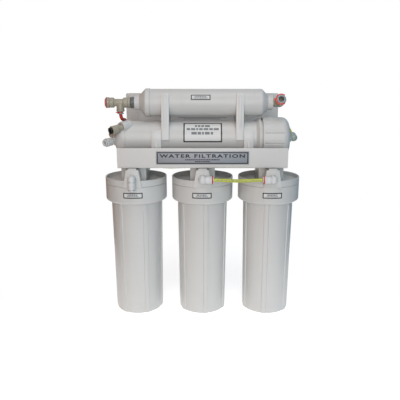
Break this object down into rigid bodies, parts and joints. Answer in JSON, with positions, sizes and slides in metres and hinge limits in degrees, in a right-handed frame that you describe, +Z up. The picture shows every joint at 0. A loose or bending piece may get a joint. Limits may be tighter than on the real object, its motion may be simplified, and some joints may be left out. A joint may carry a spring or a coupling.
{
  "type": "reverse osmosis unit",
  "caption": "Bracket-mounted reverse osmosis unit: screw-on filter housings below, with a membrane housing and an inline filter clipped above.",
  "frame": {"origin": "centre of the middle sump's flat base, on the surface the unit stands on", "axes": "+Z up, -Y towards the front with the nameplate, +Y towards the wall, +X to the right seen from the front"},
  "size_m": [0.382, 0.1633, 0.4445],
  "materials": {
    "white_plastic": "moulded white polypropylene, fine satin",
    "powder_coat": "white powder coat on bent sheet steel",
    "nameplate_metal": "brushed silver plate",
    "rubber": "black rubber",
    "sediment_media": "wound polypropylene fibre",
    "carbon_media": "pressed carbon",
    "membrane_wrap": "blue tape wrap",
    "beige_fitting": "moulded beige-grey acetal",
    "dark_fitting": "moulded dark grey plastic",
    "grey_collet": "moulded grey-blue acetal",
    "black_collet": "moulded black acetal",
    "red_clip": "moulded red acetal",
    "red_tube": "red polyethylene tube",
    "yellow_tube": "yellow-green polyethylene tube"
  },
  "bodies": {
    "frame": {"head_1": "white_plastic", "head_2": "white_plastic", "head_3": "white_plastic", "bracket": "powder_coat", "nameplate": "nameplate_metal", "membrane_housing": "white_plastic", "membrane_cap_oring": "rubber", "membrane_element": "membrane_wrap", "brine_seal": "rubber", "inline_filter_body": "white_plastic", "inline_filter_end_cap": "white_plastic", "inline_filter_media": "carbon_media", "double_clip_left": "white_plastic", "double_clip_right": "white_plastic", "membrane_clip_left": "white_plastic", "membrane_clip_right": "white_plastic", "permeate_elbow": "beige_fitting", "drain_fitting": "grey_collet", "flush_fitting": "white_plastic", "tee": "beige_fitting", "tee_collet": "grey_collet", "tee_branch_collet": "grey_collet", "tee_adapter": "dark_fitting", "outlet_elbow": "beige_fitting", "outlet_collet": "grey_collet", "front_tube": "yellow_tube", "rear_tube": "yellow_tube", "permeate_tube": "red_tube", "front_elbow_1": "white_plastic", "rear_elbow_1": "white_plastic", "front_elbow_2": "white_plastic", "rear_elbow_2": "white_plastic", "front_elbow_3": "white_plastic", "rear_elbow_3": "white_plastic", "front_collet_2": "white_plastic", "front_collet_3": "white_plastic"},
    "cartridge_1": {"cartridge_1": "sediment_media"},
    "sump_1": {"sump_1": "white_plastic", "sump_oring_1": "rubber"},
    "cartridge_2": {"cartridge_2": "carbon_media"},
    "sump_2": {"sump_2": "white_plastic", "sump_oring_2": "rubber"},
    "cartridge_3": {"cartridge_3": "carbon_media"},
    "sump_3": {"sump_3": "white_plastic", "sump_oring_3": "rubber"},
    "feed_line": {"feed_elbow": "grey_collet", "feed_tube": "yellow_tube"},
    "membrane_cap": {"membrane_cap": "white_plastic"},
    "inlet_collet": {"inlet_collet": "white_plastic"},
    "drain_collet": {"drain_collet": "black_collet"},
    "flush_collet": {"flush_collet": "white_plastic"},
    "permeate_collet": {"permeate_collet": "grey_collet"},
    "feed_collet": {"feed_collet": "grey_collet"},
    "tee_lock_clip": {"tee_lock_clip": "red_clip"},
    "tee_branch_lock_clip": {"tee_branch_lock_clip": "red_clip"},
    "outlet_lock_clip": {"outlet_lock_clip": "red_clip"},
    "front_lock_clip_2": {"front_lock_clip_2": "red_clip"},
    "front_lock_clip_3": {"front_lock_clip_3": "red_clip"}
  },
  "joints": [
    {"name": "sump_1_lower", "type": "slide", "parent": "frame", "child": "cartridge_1", "axis": [0, 0, -1], "range_m": [0, 0.0151]},
    {"name": "sump_1_unscrew", "type": "hinge", "parent": "cartridge_1", "child": "sump_1", "pos_m": [-0.131, 0, 0.13], "axis": [0, 0, -1], "range_deg": [0, 900]},
    {"name": "sump_2_lower", "type": "slide", "parent": "frame", "child": "cartridge_2", "axis": [0, 0, -1], "range_m": [0, 0.0151]},
    {"name": "sump_2_unscrew", "type": "hinge", "parent": "cartridge_2", "child": "sump_2", "pos_m": [0, 0, 0.13], "axis": [0, 0, -1], "range_deg": [0, 900]},
    {"name": "sump_3_lower", "type": "slide", "parent": "frame", "child": "cartridge_3", "axis": [0, 0, -1], "range_m": [0, 0.0151]},
    {"name": "sump_3_unscrew", "type": "hinge", "parent": "cartridge_3", "child": "sump_3", "pos_m": [0.131, 0, 0.13], "axis": [0, 0, -1], "range_deg": [0, 900]},
    {"name": "membrane_cap_travel", "type": "slide", "parent": "frame", "child": "feed_line", "axis": [1, 0, 0], "range_m": [0, 0.0101]},
    {"name": "membrane_cap_unscrew", "type": "hinge", "parent": "feed_line", "child": "membrane_cap", "pos_m": [0.14, -0.015, 0.3521], "axis": [1, 0, 0], "range_deg": [0, 720]},
    {"name": "inlet_collet_press", "type": "slide", "parent": "frame", "child": "inlet_collet", "axis": [0, 0, 1], "range_m": [0, 0.002], "stiffness_N_per_m": 200},
    {"name": "drain_collet_press", "type": "slide", "parent": "frame", "child": "drain_collet", "axis": [0.741, 0.6409, 0.2003], "range_m": [0, 0.002], "stiffness_N_per_m": 200},
    {"name": "flush_collet_press", "type": "slide", "parent": "frame", "child": "flush_collet", "axis": [0.6415, 0.7618, 0.0902], "range_m": [0, 0.002], "stiffness_N_per_m": 200},
    {"name": "permeate_collet_press", "type": "slide", "parent": "frame", "child": "permeate_collet", "axis": [0, -1, 0], "range_m": [0, 0.002], "stiffness_N_per_m": 200},
    {"name": "feed_collet_press", "type": "slide", "parent": "feed_line", "child": "feed_collet", "axis": [0, -0.9903, -0.139], "range_m": [0, 0.002], "stiffness_N_per_m": 200},
    {"name": "tee_lock_clip_pull", "type": "slide", "parent": "frame", "child": "tee_lock_clip", "axis": [0, -1, 0], "range_m": [0, 0.012]},
    {"name": "tee_branch_lock_clip_pull", "type": "slide", "parent": "frame", "child": "tee_branch_lock_clip", "axis": [-1, 0, 0], "range_m": [0, 0.012]},
    {"name": "outlet_lock_clip_pull", "type": "slide", "parent": "frame", "child": "outlet_lock_clip", "axis": [-1, 0, 0], "range_m": [0, 0.012]},
    {"name": "front_lock_clip_2_pull", "type": "slide", "parent": "frame", "child": "front_lock_clip_2", "axis": [0, -1, 0], "range_m": [0, 0.012]},
    {"name": "front_lock_clip_3_pull", "type": "slide", "parent": "frame", "child": "front_lock_clip_3", "axis": [0, -1, 0], "range_m": [0, 0.012]}
  ],
  "couplings": [
    {"joint": "sump_1_lower", "follows": "sump_1_unscrew", "m_per_rad": 0.00095493},
    {"joint": "sump_2_lower", "follows": "sump_2_unscrew", "m_per_rad": 0.00095493},
    {"joint": "sump_3_lower", "follows": "sump_3_unscrew", "m_per_rad": 0.00095493},
    {"joint": "membrane_cap_travel", "follows": "membrane_cap_unscrew", "m_per_rad": 0.00079577}
  ]
}
